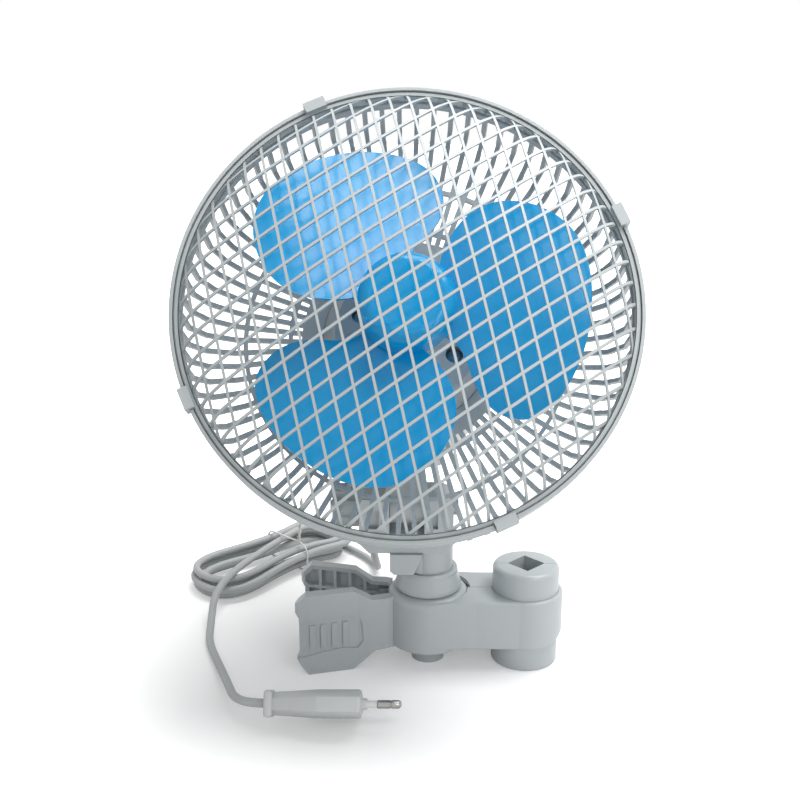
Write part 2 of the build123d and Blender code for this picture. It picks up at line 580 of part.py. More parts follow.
def motor_parts():
    front = turned([(4, MOTOR_FRONT), (MOTOR_FACE_R - 1, MOTOR_FRONT), (MOTOR_FACE_R, MOTOR_FRONT - 1),
                    (41, -55), (41, PLATE_H - 0.1), (MOTOR_R, PLATE_H - 0.1), (MOTOR_R, MOTOR_SPLIT),
                    (MOTOR_R - SHELL_T, MOTOR_SPLIT), (MOTOR_R - SHELL_T, -60.6), (38.8, -60.6), (38.8, -56),
                    (33.6, MOTOR_FRONT - 2.4), (4, MOTOR_FRONT - 2.4)])
    for x, y in SCREWS:
        front = front + rod(6.2, -57.3, MOTOR_FRONT - 1, x, y)
        front = front - rod(4.2, -50, MOTOR_FRONT + 1, x, y) - rod(1.6, -60, MOTOR_FRONT, x, y)
    keep("motor_housing_front", FAN * front)
    for name, (x, y) in zip(("housing_screw_1", "housing_screw_2"), SCREWS):
        screw = rod(1.5, -60.2, -49, x, y) + rod(3.2, -49.95, -47.8, x, y)
        screw = screw - box(x - 2, x + 2, y - 0.4, y + 0.4, -48.8, -47) \
            - box(x - 0.4, x + 0.4, y - 2, y + 2, -48.8, -47)
        keep(name, FAN * screw)

    rear = rod(MOTOR_R, MOTOR_BACK, MOTOR_SPLIT - 0.1)
    rear = fillet(rear.edges().group_by(Axis.Z)[0], 12)
    core = rod(MOTOR_R - SHELL_T, MOTOR_BACK + SHELL_T, MOTOR_SPLIT + 2)
    core = fillet(core.edges().group_by(Axis.Z)[0], 10)
    skirt = across(TURRET_R + 3, -48.2, -42.5, 0, OSC_H)
    rear = rear + skirt - core - across(TURRET_R + 0.7, -60, -30, 0, OSC_H)
    bore = rod(MOTOR_R - SHELL_T - 1.7, -100, -60)
    rear = rear + (rod(MOTOR_R - SHELL_T - 0.1, MOTOR_SPLIT - 3, MOTOR_SPLIT + 3) - bore) \
        + (rod(MOTOR_R - 1, MOTOR_SPLIT - 3.2, MOTOR_SPLIT - 0.1) - bore)
    rear = rear - across(2.8, 30, 60, CLUSTER_X, CLUSTER_H) - rod(3.3, -150, -130, SWITCH_X, SWITCH_Y)
    for k in range(-2, 3):
        vent = box(k * 7 - 1.3, k * 7 + 1.3, -27, -5, -150, -130)
        rear = rear - vent
    keep("motor_housing_rear", FAN * rear)

    bracket = turned([(SHAFT_R + 0.05, -50.2), (8, -50.2), (8, -57.4), (38, -57.4), (38, -63.9), (35.5, -63.9),
                      (35.5, -60), (SHAFT_R + 0.05, -60)])
    for x, y in SCREWS:
        bracket = bracket - rod(1.6, -62, -56, x, y)
    keep("front_bracket", FAN * bracket)
    bracket = turned([(SHAFT_R + 0.05, -95), (8, -95), (8, -91.5), (42.7, -91.5), (42.7, -89.3), (38, -89.3),
                      (38, -84.1), (35.5, -84.1), (35.5, -89.3), (SHAFT_R + 0.05, -89.3)])
    bracket = bracket - box(-50, 50, -50, -33.2, -100, -80) - box(9, 28, -34, -30.2, -100, -80)
    keep("rear_bracket", FAN * bracket)

    core = ring(30, 38, -84, -64)
    coil = None
    for a in (45, 135, 225, 315):
        pole = Rot(0, 0, a) * box(16.2, 31, -6.5, 6.5, -84, -64)
        shoe = rod(18.2, -84, -64) - rod(15.35, -90, -60)
        shoe = shoe & (Rot(0, 0, a) * box(5, 20, -12.5, 12.5, -84, -64))
        core = core + pole + shoe
        wrap = box(19, 27.4, -10.5, 10.5, -88.5, -60.6) - box(18, 30, -6.6, 6.6, -84.1, -63.9)
        wrap = Rot(0, 0, a) * wrap
        coil = wrap if coil is None else coil + wrap
    core = core - rod(15.35, -90, -60)
    coil = coil + ring(23, 26.5, -88.5, -86.5)
    keep("stator_core", FAN * core)
    keep("stator_coil", FAN * coil)
    keep("rotor_core", FAN * (ring(SHAFT_R + 0.02, 15.0, -84, -64)))
    keep("motor_shaft", FAN * rod(SHAFT_R, -118, 12.0))
    keep("impeller", FAN * impeller())


# --------------------------------------------------------------------- gearbox
def toothed(r, teeth, depth, y0, y1, x, h):
    wheel = Cylinder(r, y1 - y0)
    for k in range(teeth):
        t = Rot(0, 0, 360 * k / teeth) * Pos(r, 0, 0) * Box(2 * depth, math.pi * r / teeth, y1 - y0 + 2)
        wheel = wheel - t
    return Pos(x, (y0 + y1) / 2, h) * Rot(90, 0, 0) * wheel


def gear_parts():
    plate = box(-22, 25, -27, -24.5, -131, -91.6)
    plate = plate + across(6.2, -33.5, -26, 0, OSC_H)
    plate = plate - across(4.06, -40, -10, 0, OSC_H)
    plate = plate - across(2.06, -40, -10, CRANK_X, CRANK_H) - across(1.56, -40, -10, CLUSTER_X, CLUSTER_H)
    keep("gear_plate", FAN * plate)

    thread = [(WORM_R - d, -116 + 2.2 * k + h) for k in range(5) for d, h in ((0, 0.6), (0.6, 1.4), (0, 2.2))]
    worm = turned([(SHAFT_R + 0.02, -116), (WORM_R, -116)] + thread
                  + [(WORM_R, -104), (SHAFT_R + 0.02, -104)])
    keep("worm", FAN * worm)

    cluster = toothed(WHEEL_R, 24, 0.8, -4, 4, CLUSTER_X, CLUSTER_H) \
        + toothed(PINION_R, 10, 0.9, -24.2, -19.5, CLUSTER_X, CLUSTER_H) \
        + across(2.6, -20, -3.5, CLUSTER_X, CLUSTER_H) + across(1.5, -26.6, 8.5, CLUSTER_X, CLUSTER_H)
    keep("cluster_gear", FAN * cluster)

    output = toothed(OUTPUT_R, 30, 0.9, -24.2, -19.5, CRANK_X, CRANK_H) \
        + across(2.0, -28, -20, CRANK_X, CRANK_H) + across(13.0, -30.6, -27.3, CRANK_X, CRANK_H) \
        + across(1.5, -33.6, -30, CRANK_X + CRANK_RADIUS, CRANK_H)
    keep("output_gear", FAN * output)

    link = box(EAR_X - 3.5, EAR_X + 3.5, -33.4, -31.2, CRANK_H, OSC_H) \
        + across(4.5, -33.4, -31.2, EAR_X, OSC_H) + across(4.0, -33.4, -31.2, EAR_X, CRANK_H)
    link = link - across(2.55, -40, -20, EAR_X, OSC_H) - across(2.3, -40, -20, EAR_X, CRANK_H)
    keep("link_arm", FAN * link)

    knob = across(2.5, 9.0, 47, CLUSTER_X, CLUSTER_H) + across(7.0, 46, 54.5, CLUSTER_X, CLUSTER_H)
    knob = knob - (across(12, 52, 53.2, CLUSTER_X, CLUSTER_H) - across(6.2, 50, 55, CLUSTER_X, CLUSTER_H))
    keep("clutch_knob", FAN * knob)

    switch = box(SWITCH_X - 10, SWITCH_X + 10, SWITCH_Y - 10, SWITCH_Y + 10, -133.4, -124) \
        + rod(7.5, MOTOR_BACK + SHELL_T + 0.1, -133, SWITCH_X, SWITCH_Y) - rod(3.05, -140, -129, SWITCH_X, SWITCH_Y)
    keep("switch_body", FAN * switch)
    dial = rod(3.0, -139, -130.2, SWITCH_X, SWITCH_Y) + rod(9.0, -146, -138.3, SWITCH_X, SWITCH_Y) \
        + box(SWITCH_X - 1.6, SWITCH_X + 1.6, SWITCH_Y - 8.5, SWITCH_Y + 8.5, -150, -145)
    keep("speed_knob", FAN * dial)


# ------------------------------------------------------------------------ cord
def flex_path(points):
    """Straight runs joined by tangent arcs."""
    radii = []
    for i in range(1, len(points) - 1):
        p, q, r = (Vector(*points[k]) for k in (i - 1, i, i + 1))
        u, v = q - p, r - q
        turn = math.radians(u.get_angle(v))
        radii.append(0.48 * min(u.length, v.length) / math.tan(turn / 2))
    print("least bend radius", round(min(radii), 1))
    return FilletPolyline(*[Vector(*p) for p in points], radius=radii)


HANK = Pos(*HANK_CENTRE) * Rot(0, 0, HANK_YAW)


def hank_points():
    """Corner points of the hank in its own frame: a flat spiral inwards, one
    outwards on top of it and one inwards again, pulled in under the tie, then a
    last strand across the top. Each spiral has HANK_LAYER corners."""
    pts = []
    for n in range(HANK_CORNERS):
        layer, place = divmod(n, HANK_LAYER)
        m = place if layer % 2 == 0 else HANK_LAYER - 1 - place
        z = HANK_FLOOR + HANK_STEP * layer
        end, along = (HANK_FAR, 1) if n % 4 < 2 else (HANK_NEAR, -1)
        side = 1 if n % 4 in (1, 2) else -1
        if n and n % 2 == 0:
            lift = HANK_LIFT if place else 0.0
            pts.append((TIE_AT, side * (TIE_HALF - TIE_NEST * m), z + lift))
        pts.append((along * (end[0] - HANK_NEST[0] * m), side * (end[1] - HANK_NEST[1] * m), z))
    top = HANK_FLOOR + 2 * HANK_STEP
    return pts + [(TIE_AT, 6.0, top + HANK_LIFT + 0.8), (-58.0, -21.0, top + HANK_STEP + 0.9)]


def cord_routes():
    """Tail from the gland, hank, and run to the plug. The first meets the second
    half way along a straight run, and so do the second and the third."""
    tail = [(t * CORD_AIM[0], t * CORD_AIM[1], GLAND_Z) for t in (POST_R + 1.4, GLAND_REACH + RELIEF + 10.5)]
    tail += [(-33.0, 60.0, 43.0), (-29.0, 82.0, 13.0), (-29.0, 103.0, HANK_FLOOR)]
    hank = [tuple((HANK * Pos(*p)).position) for p in hank_points()]
    flex = [(-119.0, 24.2, HANK_FLOOR), (-116.5, 6.5, HANK_FLOOR), (-109.5, -12.0, 2.6), (-103.0, -30.5, 4.6),
            (-97.5, -48.0, 8.0), (-93.0, -63.5, 11.8), (-84.0, PLUG_AT[1], PLUG_AT[2]),
            (PLUG_AT[0] + 7.0, PLUG_AT[1], PLUG_AT[2])]
    first = tuple((Vector(*tail[-1]) + Vector(*hank[0])) / 2)
    last = tuple((Vector(*hank[-2]) + Vector(*hank[-1])) / 2)
    return tail + [first], [first] + hank[:-1] + [last], [last, hank[-1]] + flex


def least_gap(path, step=1.0, apart=22.0):
    """Least room between two places of a flex that lie apart along it."""
    count = int(path.length / step)
    points = [tuple(path.position_at(k / count)) for k in range(count + 1)]
    skip = int(apart / step)
    least = min(math.dist(p, q) for i, p in enumerate(points) for q in points[i + skip:])
    return least - 2 * CORD_R


def cord_parts():
    names = ("cord_gland_run", "cord_hank", "cord_plug_run")
    total = 0
    for name, points in zip(names, cord_routes()):
        path = flex_path(points)
        profile = Plane(origin=path @ 0, z_dir=path % 0) * Circle(CORD_R)
        keep(name, sweep(profile, path=path))
        total += path.length
        print(name, "length", round(path.length, 1), "gap to itself", round(least_gap(path), 2))
    print("cord length", round(total, 1))


def tie_parts():
    """Wire tie round the hank with its twisted ends standing up."""
    at = HANK * Pos(TIE_AT, 0, 0)
    shift = TIE_NEST / 2
    half = TIE_HALF + TIE_BULGE + CORD_R + TIE_R + 0.3 - shift
    low, high = TIE_R + 0.2, HANK_FLOOR + HANK_LIFT + 2 * HANK_STEP + 0.8 + CORD_R + TIE_R + 0.4
    middle = Plane(origin=(0, -shift, (low + high) / 2), x_dir=(0, 1, 0), z_dir=(1, 0, 0))
    path = (middle * RectangleRounded(2 * half, high - low, 3.5)).wire()
    band = sweep(Plane(origin=path @ 0, z_dir=path % 0) * Circle(TIE_R), path=path)
    ends = None
    for turn in (0, 180):
        pts = []
        for k in range(13):
            a = math.radians(turn + 50 * k)
            y = 2.6 - TIE_HALF - 0.12 * k
            pts.append((0.75 * math.cos(a), y + 0.75 * math.sin(a), high - 0.6 + 2.6 * k))
        line = Spline(*[Vector(*p) for p in pts])
        strand = sweep(Plane(origin=line @ 0, z_dir=line % 0) * Circle(0.55), path=line)
        ends = strand if ends is None else ends + strand
    keep("twist_tie", at * (band + ends))


# ------------------------------------------------------------------------ plug
def rounded(w, t, r, x):
    return Plane(origin=(x, 0, 0), x_dir=(0, 1, 0), z_dir=(1, 0, 0)) * RectangleRounded(w, t, r)


def plug_parts():
    place = Pos(*PLUG_AT) * Rot(PLUG_ROLL, 0, 0)
    body = loft([rounded(13.5, 10.5, 3, 4), rounded(18, 11.8, 3, 12), rounded(31, 13.4, 3, 25)]) \
        + loft([rounded(31, 13.4, 3, 25), rounded(35, 13.6, 3, PLUG_LENGTH)])
    flange = loft([rounded(15.5, 12.0, 4.5, 0), rounded(16.5, 12.4, 4.5, 5.2)])
    neck = loft([rounded(13, 10, 3, 3), rounded(13, 10, 3, 5)])
    body = body + flange + neck
    for side in (-1, 1):
        for k in range(3):
            body = body - Pos(16 + 4 * k, 0, side * (6.6 + 0.05 * k)) * Box(1.4, 9, 0.9)
    body = body - Pos(0, 0, 0) * Rot(0, 90, 0) * Cylinder(CORD_R + 0.1, 16)
    for y in (-9.3, 9.3):
        body = body + Pos(PLUG_LENGTH, y, 0) * Rot(0, 90, 0) * Cylinder(2.7, 4.4)
        body = body - Pos(PLUG_LENGTH - 5, y, 0) * Rot(0, 90, 0) * stud(2.0, 30)
    keep("plug_body", place * body)
    for name, y in (("plug_pin_1", -9.3), ("plug_pin_2", 9.3)):
        tip = Cone(1.95, 1.1, 1.2, align=(Align.CENTER, Align.CENTER, Align.MIN))
        pin = rod(1.95, -4.9, 17.4) + Pos(0, 0, 17.4) * tip
        pin = pin - ring(1.65, 3, 11.8, 12.5)
        keep(name, place * Pos(PLUG_LENGTH, y, 0) * Rot(0, 90, 0) * pin)


def build():
    clamp_parts()
    post_parts()
    neck_parts()
    guard_parts()
    motor_parts()
    gear_parts()
    cord_parts()
    tie_parts()
    plug_parts()


def write():
    os.makedirs("parts", exist_ok=True)
    for name, shape in PARTS.items():
        export_step(shape, os.path.join("parts", name + ".step"))
        print(name, len(shape.solids()), round(shape.volume))


if __name__ == "__main__":
    build()
    write()
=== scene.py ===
"""A grey clip fan with blue blades, standing on its clamp on a pale floor."""

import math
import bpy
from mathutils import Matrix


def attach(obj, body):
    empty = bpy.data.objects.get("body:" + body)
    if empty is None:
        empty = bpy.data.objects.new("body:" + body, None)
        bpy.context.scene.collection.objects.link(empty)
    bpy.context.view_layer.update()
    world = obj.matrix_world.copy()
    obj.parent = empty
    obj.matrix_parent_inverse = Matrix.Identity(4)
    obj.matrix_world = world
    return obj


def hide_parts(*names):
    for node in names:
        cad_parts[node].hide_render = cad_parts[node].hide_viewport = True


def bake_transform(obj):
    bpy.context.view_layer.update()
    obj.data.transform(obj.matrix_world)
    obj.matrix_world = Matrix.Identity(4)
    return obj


bl_info = {
    "name": "Clip Fan",
    "version": (1, 0, 0),
    "blender": (4, 5, 0),
    "location": "View3D > Sidebar > Clip Fan",
    "description": "Builds the looks of a clip fan around its fixed frame",
    "category": "Object",
}

import bmesh
import bpy
from mathutils import Euler, Matrix, Vector

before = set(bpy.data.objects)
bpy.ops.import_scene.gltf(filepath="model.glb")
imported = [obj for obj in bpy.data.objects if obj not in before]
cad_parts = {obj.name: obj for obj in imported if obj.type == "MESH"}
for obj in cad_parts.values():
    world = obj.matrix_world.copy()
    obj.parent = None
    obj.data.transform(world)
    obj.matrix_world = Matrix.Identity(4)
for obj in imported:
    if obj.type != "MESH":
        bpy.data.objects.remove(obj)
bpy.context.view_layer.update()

# Pieces are drawn in millimetres, and WORLD takes them to metres.
MM = 0.001
WORLD = Matrix.Scale(MM, 4)


# ------------------------------------------------------------------- properties
class ClipFanColours(bpy.types.PropertyGroup):
    """Colours of the fan's plastics, as sRGB hex."""

    body: bpy.props.StringProperty(
        name="Body", description="Moulded ABS of clamp, neck and motor housing", default="B6BCBE")
    guard: bpy.props.StringProperty(
        name="Guard", description="Moulded polypropylene of both guards", default="B0B6B7")
    blade: bpy.props.StringProperty(
        name="Blade", description="Glossy blue styrene of the impeller", default="00A4E0")
    cord: bpy.props.StringProperty(
        name="Cord", description="Soft PVC of the cord and its relief sleeve", default="B0B4B4")
    plug: bpy.props.StringProperty(
        name="Plug", description="Stiffer PVC of the plug", default="C2C6C6")


class ClipFanCord(bpy.types.PropertyGroup):
    """Sizes of the mains cord."""

    diameter: bpy.props.FloatProperty(
        name="Diameter", description="Outside diameter of the flex", default=0.0042, unit="LENGTH")
    length: bpy.props.FloatProperty(
        name="Length", description="Real length from gland to plug", default=1.39, unit="LENGTH")


class ClipFanStage(bpy.types.PropertyGroup):
    """Camera and lamps."""

    lens: bpy.props.FloatProperty(
        name="Lens", description="Focal length in millimetres", default=54.0)
    camera_at: bpy.props.FloatVectorProperty(
        name="Camera", description="Place of the camera",
        default=(-0.00779, -0.56693, 0.31486), subtype="XYZ")
    pitch: bpy.props.FloatProperty(
        name="Pitch", description="Downward tilt of the camera",
        default=math.radians(17.08), subtype="ANGLE")
    yaw: bpy.props.FloatProperty(
        name="Yaw", description="Turn of the camera to the left", default=0.012, subtype="ANGLE")
    key: bpy.props.FloatProperty(
        name="Key lamp", description="Power of the large lamp overhead in watts", default=13.5)
    fill: bpy.props.FloatProperty(
        name="Fill lamp", description="Power of the lamp beside the camera in watts", default=1.8)
    sky: bpy.props.FloatProperty(
        name="Sky", description="Strength of the even light from all sides", default=0.48)
    lift: bpy.props.FloatProperty(
        name="Floor lift", description="White added to the floor near the fan, for the camera alone",
        default=0.2)


def group(name):
    """The settings of one PropertyGroup on the scene."""
    return getattr(bpy.context.scene, name)


# -------------------------------------------------------------------- materials
# A plastic's tone drifts over this width and by this share. Its grain is this
# deep, and its gloss varies by this much between high spots and low ones.
CLOUD_MM = 35.0
CLOUD_TONE = 0.03
GRAIN_DEPTH_MM = 0.2
GRAIN_GLOSS = 0.04
# How far red, green and blue light travel inside the plastic, in metres.
LIGHT_REACH = (0.002, 0.002, 0.003)
# A metal's lines: their depth, how many times closer they lie along Z than
# across it, and how much they dull or brighten the gloss.
LINE_DEPTH_MM = 0.1
LINE_STRETCH = 14
LINE_GLOSS = (-0.05, 0.07)


def linear(code):
    """Linear colour with alpha from an sRGB hex code."""
    out = []
    for k in (0, 2, 4):
        c = int(code[k:k + 2], 16) / 255
        out.append(c / 12.92 if c <= 0.04045 else ((c + 0.055) / 1.055) ** 2.4)
    return (*out, 1.0)


def node(tree, kind, settings=None, values=None, links=None):
    """One node with its settings, socket values and incoming links."""
    made = tree.nodes.new(kind)
    for key, value in (settings or {}).items():
        setattr(made, key, value)
    for key, value in (values or {}).items():
        made.inputs[key].default_value = value
    for key, source in (links or {}).items():
        tree.links.new(source, made.inputs[key])
    return made


def start(name):
    """A new material with only its output node, and its Object coordinates."""
    made = bpy.data.materials.new(name)
    made.use_nodes = True
    tree = made.node_tree
    tree.nodes.clear()
    out = node(tree, "ShaderNodeOutputMaterial")
    place = node(tree, "ShaderNodeTexCoord").outputs["Object"]
    return made, tree, out, place


def moulded(name, code, roughness, grain_mm, grain, coat=0.0, ior=1.53, subsurface=0.0):
    """Injection moulded plastic: faint cloudy tone, fine spark-eroded grain."""
    # real grain is under 0.2 mm across; it is drawn coarser, so that it shows
    made, tree, out, place = start(name)
    cloud = node(tree, "ShaderNodeTexNoise", None,
                 {"Scale": 1 / (CLOUD_MM * MM), "Detail": 2.0}, {"Vector": place})
    base = linear(code)
    low = tuple(c * (1 - CLOUD_TONE) for c in base[:3]) + (1.0,)
    high = tuple(min(1.0, c * (1 + CLOUD_TONE)) for c in base[:3]) + (1.0,)
    colour = node(tree, "ShaderNodeMix", {"data_type": "RGBA"}, None, {"Factor": cloud.outputs["Fac"]})
    # sockets 6 and 7 are the two colours of a mix set to RGBA
    colour.inputs[6].default_value = low
    colour.inputs[7].default_value = high
    speck = node(tree, "ShaderNodeTexNoise", None,
                 {"Scale": 1 / (grain_mm * MM), "Detail": 3.0}, {"Vector": place})
    bump = node(tree, "ShaderNodeBump", None,
                {"Strength": grain, "Distance": GRAIN_DEPTH_MM * MM}, {"Height": speck.outputs["Fac"]})
    gloss = node(tree, "ShaderNodeMapRange", None,
                 {"To Min": roughness - GRAIN_GLOSS, "To Max": roughness + GRAIN_GLOSS},
                 {"Value": speck.outputs["Fac"]})
    shader = node(tree, "ShaderNodeBsdfPrincipled", None,
                  {"IOR": ior, "Coat Weight": coat, "Coat Roughness": 0.08,
                   "Subsurface Weight": subsurface, "Subsurface Radius": LIGHT_REACH,
                   "Subsurface Scale": 1.0},
                  {"Base Color": colour.outputs[2], "Roughness": gloss.outputs["Result"],
                   "Normal": bump.outputs["Normal"]})
    tree.links.new(shader.outputs["BSDF"], out.inputs["Surface"])
    return made


def metal(name, code, roughness, line_mm, depth):
    """Bare metal with fine drawn or turned lines."""
    # real lines are under 0.1 mm apart; they are drawn coarser, so that they show
    made, tree, out, place = start(name)
    stretch = node(tree, "ShaderNodeMapping", None, {"Scale": (1.0, 1.0, LINE_STRETCH)}, {"Vector": place})
    lines = node(tree, "ShaderNodeTexNoise", None,
                 {"Scale": 1 / (line_mm * MM * LINE_STRETCH), "Detail": 4.0},
                 {"Vector": stretch.outputs["Vector"]})
    bump = node(tree, "ShaderNodeBump", None,
                {"Strength": depth, "Distance": LINE_DEPTH_MM * MM}, {"Height": lines.outputs["Fac"]})
    gloss = node(tree, "ShaderNodeMapRange", None,
                 {"To Min": roughness + LINE_GLOSS[0], "To Max": roughness + LINE_GLOSS[1]},
                 {"Value": lines.outputs["Fac"]})
    shader = node(tree, "ShaderNodeBsdfPrincipled", None, {"Base Color": linear(code), "Metallic": 1.0},
                  {"Roughness": gloss.outputs["Result"], "Normal": bump.outputs["Normal"]})
    tree.links.new(shader.outputs["BSDF"], out.inputs["Surface"])
    return made


FINISHES = {}


def make_finishes():
    """Every finish of the fan, by its short name."""
    colours = group("clip_fan_colours")
    # light grey ABS, finely grained mould: soft broad highlights
    FINISHES["body"] = moulded("grey_abs_grained", colours.body, 0.32, 0.45, 0.05)
    # the same ABS from a polished mould: tighter highlights on grips and collar
    FINISHES["grip"] = moulded("grey_abs_polished", colours.body, 0.24, 0.9, 0.02)
    # polypropylene guard: waxy, half gloss
    FINISHES["guard"] = moulded("grey_polypropylene", colours.guard, 0.36, 0.8, 0.05)
    # blue styrene blades: clear deep gloss, light passes a little way in
    FINISHES["blade"] = moulded("sky_blue_styrene", colours.blade, 0.2, 3.0, 0.012,
                                coat=0.1, ior=1.5, subsurface=0.08)
    # soft PVC cord: dull, slightly rubbery
    FINISHES["cord"] = moulded("grey_soft_pvc", colours.cord, 0.48, 0.6, 0.1)
    # the plug's stiffer PVC: paler, cleaner highlights
    FINISHES["plug"] = moulded("grey_stiff_pvc", colours.plug, 0.4, 0.6, 0.06)
    # the harder insulating sleeve on the pins: paler, smoother
    FINISHES["sleeve"] = moulded("pale_nylon_sleeve", "D2D4D2", 0.35, 0.5, 0.05)
    # ABS knobs from a coarser mould: a shade darker, soft highlights
    FINISHES["knob"] = moulded("grey_abs_knob", "A6ABAC", 0.4, 0.5, 0.1)
    # unpainted acetal gears: milky white, slightly waxy
    FINISHES["gear"] = moulded("white_acetal", "E9E9E4", 0.35, 0.8, 0.04)
    # glass-filled nylon of the switch: dark and dull
    FINISHES["black"] = moulded("black_nylon", "202123", 0.45, 0.5, 0.1)
    # thin plastic skin over the tie's wire: near white, bright edge
    FINISHES["tie"] = moulded("pale_tie_film", "E3E4E1", 0.3, 0.8, 0.05)
    # drawn and stamped steel: grey mirror broken by fine lines
    FINISHES["steel"] = metal("bright_steel", "B4B6B9", 0.3, 0.3, 0.1)
    # edges of stacked sheets: dark, clearly lined
    FINISHES["laminations"] = metal("stacked_sheet_steel", "6C6E72", 0.45, 0.5, 0.5)
    # lacquered winding: warm brown red, lined by its turns
    FINISHES["copper"] = metal("varnished_copper_wire", "B5673B", 0.35, 0.3, 0.5)
    # turned and plated pins: bright, neutral, sharp dark reflections
    FINISHES["nickel"] = metal("nickel_plated_brass", "A3A3A0", 0.2, 0.3, 0.05)


# The frame's own pieces that wear each finish.
NODE_FINISH = {
    "body": ("front_jaw", "rear_jaw", "neck_post", "cord_gland", "neck_block", "motor_housing_front",
             "motor_housing_rear"),
    "grip": ("front_grip", "rear_grip", "neck_collar"),
    "guard": ("front_guard", "rear_guard"),
    "blade": ("impeller",),
    "knob": ("tilt_knob", "clutch_knob", "speed_knob"),
    "gear": ("worm", "cluster_gear", "output_gear"),
    "black": ("switch_body",),
    "cord": ("strain_relief",),
    "tie": ("twist_tie",),
    "steel": ("hinge_pin", "torsion_spring", "tilt_bolt", "pivot_pin", "housing_screw_1", "housing_screw_2",
              "front_bracket", "rear_bracket", "motor_shaft", "gear_plate", "link_arm"),
    "laminations": ("stator_core", "rotor_core"),
    "copper": ("stator_coil",),
    "nickel": ("plug_pin_1", "plug_pin_2"),
}


# ------------------------------------------------------------------- mesh tools
# Faces that meet at less than this look smooth.
SMOOTH_UNDER = math.radians(35.0)
# Steps round a turned piece, and the distance within which its points become one.
LATHE_STEPS = 48
LATHE_MERGE = 0.0005


def finish_mesh(mesh, name, place, finish, body):
    """Turns a bmesh made in millimetres into a piece of the fan."""
    mesh.transform(place)
    bmesh.ops.recalc_face_normals(mesh, faces=mesh.faces)
    data = bpy.data.meshes.new(name)
    mesh.to_mesh(data)
    mesh.free()
    for face in data.polygons:
        face.use_smooth = True
    data.set_sharp_from_angle(angle=SMOOTH_UNDER)
    made = bpy.data.objects.new(name, data)
    bpy.context.collection.objects.link(made)
    data.materials.append(FINISHES[finish])
    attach(made, body)
    return made


def lathe(profile):
    """A bmesh spun about its X axis from a list of (x, radius)."""
    mesh = bmesh.new()
    verts = [mesh.verts.new((x, 0.0, radius)) for x, radius in profile]
    edges = [mesh.edges.new(pair) for pair in zip(verts, verts[1:])]
    bmesh.ops.spin(mesh, geom=verts + edges, axis=(1.0, 0.0, 0.0), cent=(0.0, 0.0, 0.0), angle=math.tau,
                   steps=LATHE_STEPS, use_merge=True)
    bmesh.ops.remove_doubles(mesh, verts=mesh.verts, dist=LATHE_MERGE)
    return mesh


# ----------------------------------------------------------------------- camera
class CLIPFAN_OT_camera(bpy.types.Operator):
    """Place the camera in front of the fan, looking a little down on it"""

    bl_idname = "clipfan.camera"
    bl_label = "Camera"

    def execute(self, context):
        stage = group("clip_fan_stage")
        data = bpy.data.cameras.new("camera")
        data.lens = stage.lens
        data.sensor_width = 36.0
        data.clip_end = 20.0
        made = bpy.data.objects.new("camera", data)
        made.location = stage.camera_at
        made.rotation_euler = Euler((math.pi / 2 - stage.pitch, 0.0, stage.yaw), "XYZ")
        context.collection.objects.link(made)
        context.scene.camera = made
        return {"FINISHED"}


# --------------------------------------------------------------------- finishes
class CLIPFAN_OT_finishes(bpy.types.Operator):
    """Make the finishes and put them on the fan's moulded and metal pieces"""

    bl_idname = "clipfan.finishes"
    bl_label = "Finishes"

    def execute(self, context):
        make_finishes()
        for finish, names in NODE_FINISH.items():
            for name in names:
                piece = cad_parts[name]
                if not piece.material_slots:
                    piece.data.materials.append(FINISHES[finish])
                for held in piece.material_slots:
                    held.material = FINISHES[finish]
        return {"FINISHED"}


# ----------------------------------------------------------------- clamp spring
# In metres: points closer than SPRING_MERGE become one.
SPRING_MERGE = 0.00001


class CLIPFAN_OT_spring(bpy.types.Operator):
    """Remake the clamp's spring as one welded mesh in place of the frame's piece"""

    bl_idname = "clipfan.spring"
    bl_label = "Torsion spring"

    def execute(self, context):
        mesh = bmesh.new()
        mesh.from_mesh(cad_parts["torsion_spring"].data)
        bmesh.ops.remove_doubles(mesh, verts=mesh.verts, dist=SPRING_MERGE)
        data = bpy.data.meshes.new("spring_twisting")
        mesh.to_mesh(data)
        mesh.free()
        made = bpy.data.objects.new("spring_twisting", data)
        context.collection.objects.link(made)
        data.materials.append(FINISHES["steel"])
        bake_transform(made)
        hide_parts("torsion_spring")
        return {"FINISHED"}


# ------------------------------------------------------------------------- plug
# Places in millimetres. The plug's frame has x along the pins from the end
# face, and y across the two pins. It leans about its own length, as it lies.
PLUG = WORLD @ Matrix.Translation((-77.0, -72.2, 13.9)) @ Matrix.Rotation(math.radians(-31.0), 4, "X") \
    @ Matrix.Translation((45.4, 0.0, 0.0))
# Stations of the body, from cord to end face: place along x, half width, half height.
PLUG_STATIONS = (
    (-42.0, 6.8, 5.4), (-33.4, 9.0, 5.9), (-20.4, 15.6, 6.7), (-1.2, 17.4, 6.8), (0.0, 16.3, 6.1),
)
# Its edges are rounded by PLUG_ROUND where it folds by more than PLUG_EDGE.
PLUG_ROUND = 0.45
PLUG_EDGE = math.radians(12.0)
# The flange at the cord: middle along x, length, width, height, and its rounding.
FLANGE = (-43.3, 4.2, 16.4, 12.6)
FLANGE_ROUND = 1.7
# The bosses that the pins stand in: radius at the body and at the tip, depth, middle.
BOSS_FOOT_R = 2.9
BOSS_TIP_R = 2.5
BOSS_DEPTH = 3.0
BOSS_AT = 0.7
# The pins: their distance, radius and ends, and the sleeve round each root.
PIN_APART = 18.6
PIN_R = 1.95
PIN_ROOT = -4.0
PIN_END = 18.6
CORE_R = PIN_R - 0.5
SLEEVE_R = 1.62
SLEEVE_ROOT = -3.8
SLEEVE_END = 7.6
# The ring groove in each pin: where it starts and ends, its depth and slope.
GROOVE = (13.3, 14.2)
GROOVE_DEPTH = 0.25
GROOVE_SLOPE = 0.2


